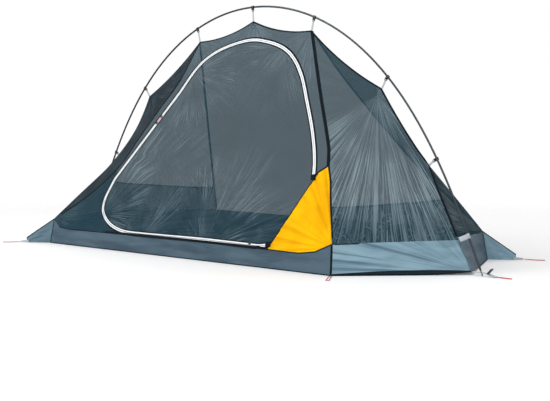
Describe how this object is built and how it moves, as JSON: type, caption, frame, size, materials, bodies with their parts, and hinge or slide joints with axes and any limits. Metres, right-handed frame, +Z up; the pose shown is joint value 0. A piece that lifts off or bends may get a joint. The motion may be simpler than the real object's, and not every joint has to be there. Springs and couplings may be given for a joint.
{
  "type": "trekking tent inner",
  "caption": "Trekking tent inner for one person: a mesh canopy clipped under a single arched pole, a bathtub floor, a zipped side door and a stow pocket.",
  "frame": {"origin": "on the ground under the middle of the floor", "axes": "+X along the tent towards its right end as seen from the door, +Y to the back, +Z up; the door faces -Y"},
  "size_m": [2.647, 1.159, 1.1368],
  "materials": {
    "netting": "fine see-through mosquito mesh",
    "slate_cloth": "coated nylon, satin",
    "pale_cloth": "coated nylon, satin",
    "floor_cloth": "coated nylon, satin",
    "pocket_cloth": "nylon, satin",
    "reflective_zip": "coated coil zip",
    "pole_metal": "anodised satin",
    "black_plastic": "moulded, satin",
    "grey_webbing": "woven",
    "red_cord": "braided"
  },
  "bodies": {
    "tent": {"front_mesh": "netting", "right_end_mesh": "netting", "left_end_mesh": "netting", "right_back_mesh": "netting", "left_front_mesh": "netting", "back_mesh": "netting", "end_pocket_left": "netting", "end_pocket_right": "netting", "tub_wall_front": "slate_cloth", "tub_wall_right_back": "slate_cloth", "tub_wall_back": "slate_cloth", "tub_wall_left_front": "slate_cloth", "tub_wall_right": "pale_cloth", "tub_wall_left": "pale_cloth", "corner_beak_front_left": "pale_cloth", "corner_beak_back_right": "pale_cloth", "floor_sheet": "floor_cloth", "stow_pocket": "pocket_cloth", "zip_tape_canopy": "reflective_zip", "fly_buckle_left": "black_plastic", "fly_buckle_right": "black_plastic", "low_tab_left": "grey_webbing", "low_tab_right": "grey_webbing", "foot_strap_left": "grey_webbing", "foot_strap_right": "grey_webbing", "stake_loop_left_end": "red_cord", "stake_loop_right_end": "red_cord", "stake_loop_front_left": "red_cord", "stake_loop_back_right": "red_cord", "stake_loop_front_right": "red_cord", "stake_loop_back_left": "red_cord"},
    "pole": {"pole_section_1": "pole_metal", "pole_section_2": "pole_metal", "pole_section_3": "pole_metal", "pole_section_4": "pole_metal", "pole_section_5": "pole_metal", "pole_section_6": "pole_metal", "pole_section_7": "pole_metal", "pole_tip_left": "black_plastic", "pole_tip_right": "black_plastic"},
    "door": {"door_mesh": "netting", "zip_tape_door": "reflective_zip"},
    "upper_slider": {"zip_slider_upper": "black_plastic", "zip_pull_upper": "red_cord"},
    "lower_slider": {"zip_slider_lower": "black_plastic", "zip_pull_lower": "red_cord"},
    "clip_1": {"ridge_clip_1": "black_plastic", "ridge_strap_1": "grey_webbing"},
    "clip_2": {"ridge_clip_2": "black_plastic", "ridge_strap_2": "grey_webbing"},
    "clip_3": {"ridge_clip_3": "black_plastic", "ridge_strap_3": "grey_webbing"},
    "clip_4": {"ridge_clip_4": "black_plastic", "ridge_strap_4": "grey_webbing"},
    "clip_5": {"ridge_clip_5": "black_plastic", "ridge_strap_5": "grey_webbing"},
    "clip_6": {"ridge_clip_6": "black_plastic", "ridge_strap_6": "grey_webbing"},
    "clip_7": {"ridge_clip_7": "black_plastic", "ridge_strap_7": "grey_webbing"}
  },
  "joints": [
    {"name": "pole_swing", "type": "hinge", "parent": "tent", "child": "pole", "pos_m": [0, 0, 0.013], "axis": [-1, 0, 0], "range_deg": [0, 55]},
    {"name": "door_swing", "type": "hinge", "parent": "tent", "child": "door", "pos_m": [0.44, -0.40187, 0.082], "axis": [0.4167, 0.3632, 0.8334], "range_deg": [0, 100]},
    {"name": "upper_slider_slide", "type": "slide", "parent": "door", "child": "upper_slider", "axis": [0.5083, 0.3469, 0.7882], "range_m": [0, 0.14]},
    {"name": "lower_slider_slide", "type": "slide", "parent": "door", "child": "lower_slider", "axis": [-0.5083, -0.3469, -0.7882], "range_m": [0, 0.32]},
    {"name": "clip_1_swing", "type": "hinge", "parent": "tent", "child": "clip_1", "pos_m": [-0.9564, 0, 0.42823], "axis": [0.4882, 0, 0.8727], "range_deg": [0, 100]},
    {"name": "clip_2_swing", "type": "hinge", "parent": "tent", "child": "clip_2", "pos_m": [-0.71834, 0, 0.73934], "axis": [0.6835, 0, 0.73], "range_deg": [0, 100]},
    {"name": "clip_3_swing", "type": "hinge", "parent": "tent", "child": "clip_3", "pos_m": [-0.3482, 0, 0.99444], "axis": [0.9235, 0, 0.3835], "range_deg": [0, 100]},
    {"name": "clip_4_swing", "type": "hinge", "parent": "tent", "child": "clip_4", "pos_m": [0.003, 0, 1.0675], "axis": [1, 0, 0], "range_deg": [0, 100]},
    {"name": "clip_5_swing", "type": "hinge", "parent": "tent", "child": "clip_5", "pos_m": [0.3482, 0, 1.00148], "axis": [0.9235, 0, -0.3835], "range_deg": [0, 100]},
    {"name": "clip_6_swing", "type": "hinge", "parent": "tent", "child": "clip_6", "pos_m": [0.72238, 0, 0.73737], "axis": [0.6835, 0, -0.73], "range_deg": [0, 100]},
    {"name": "clip_7_swing", "type": "hinge", "parent": "tent", "child": "clip_7", "pos_m": [0.95345, 0, 0.42429], "axis": [0.4882, 0, -0.8727], "range_deg": [0, 100]}
  ]
}
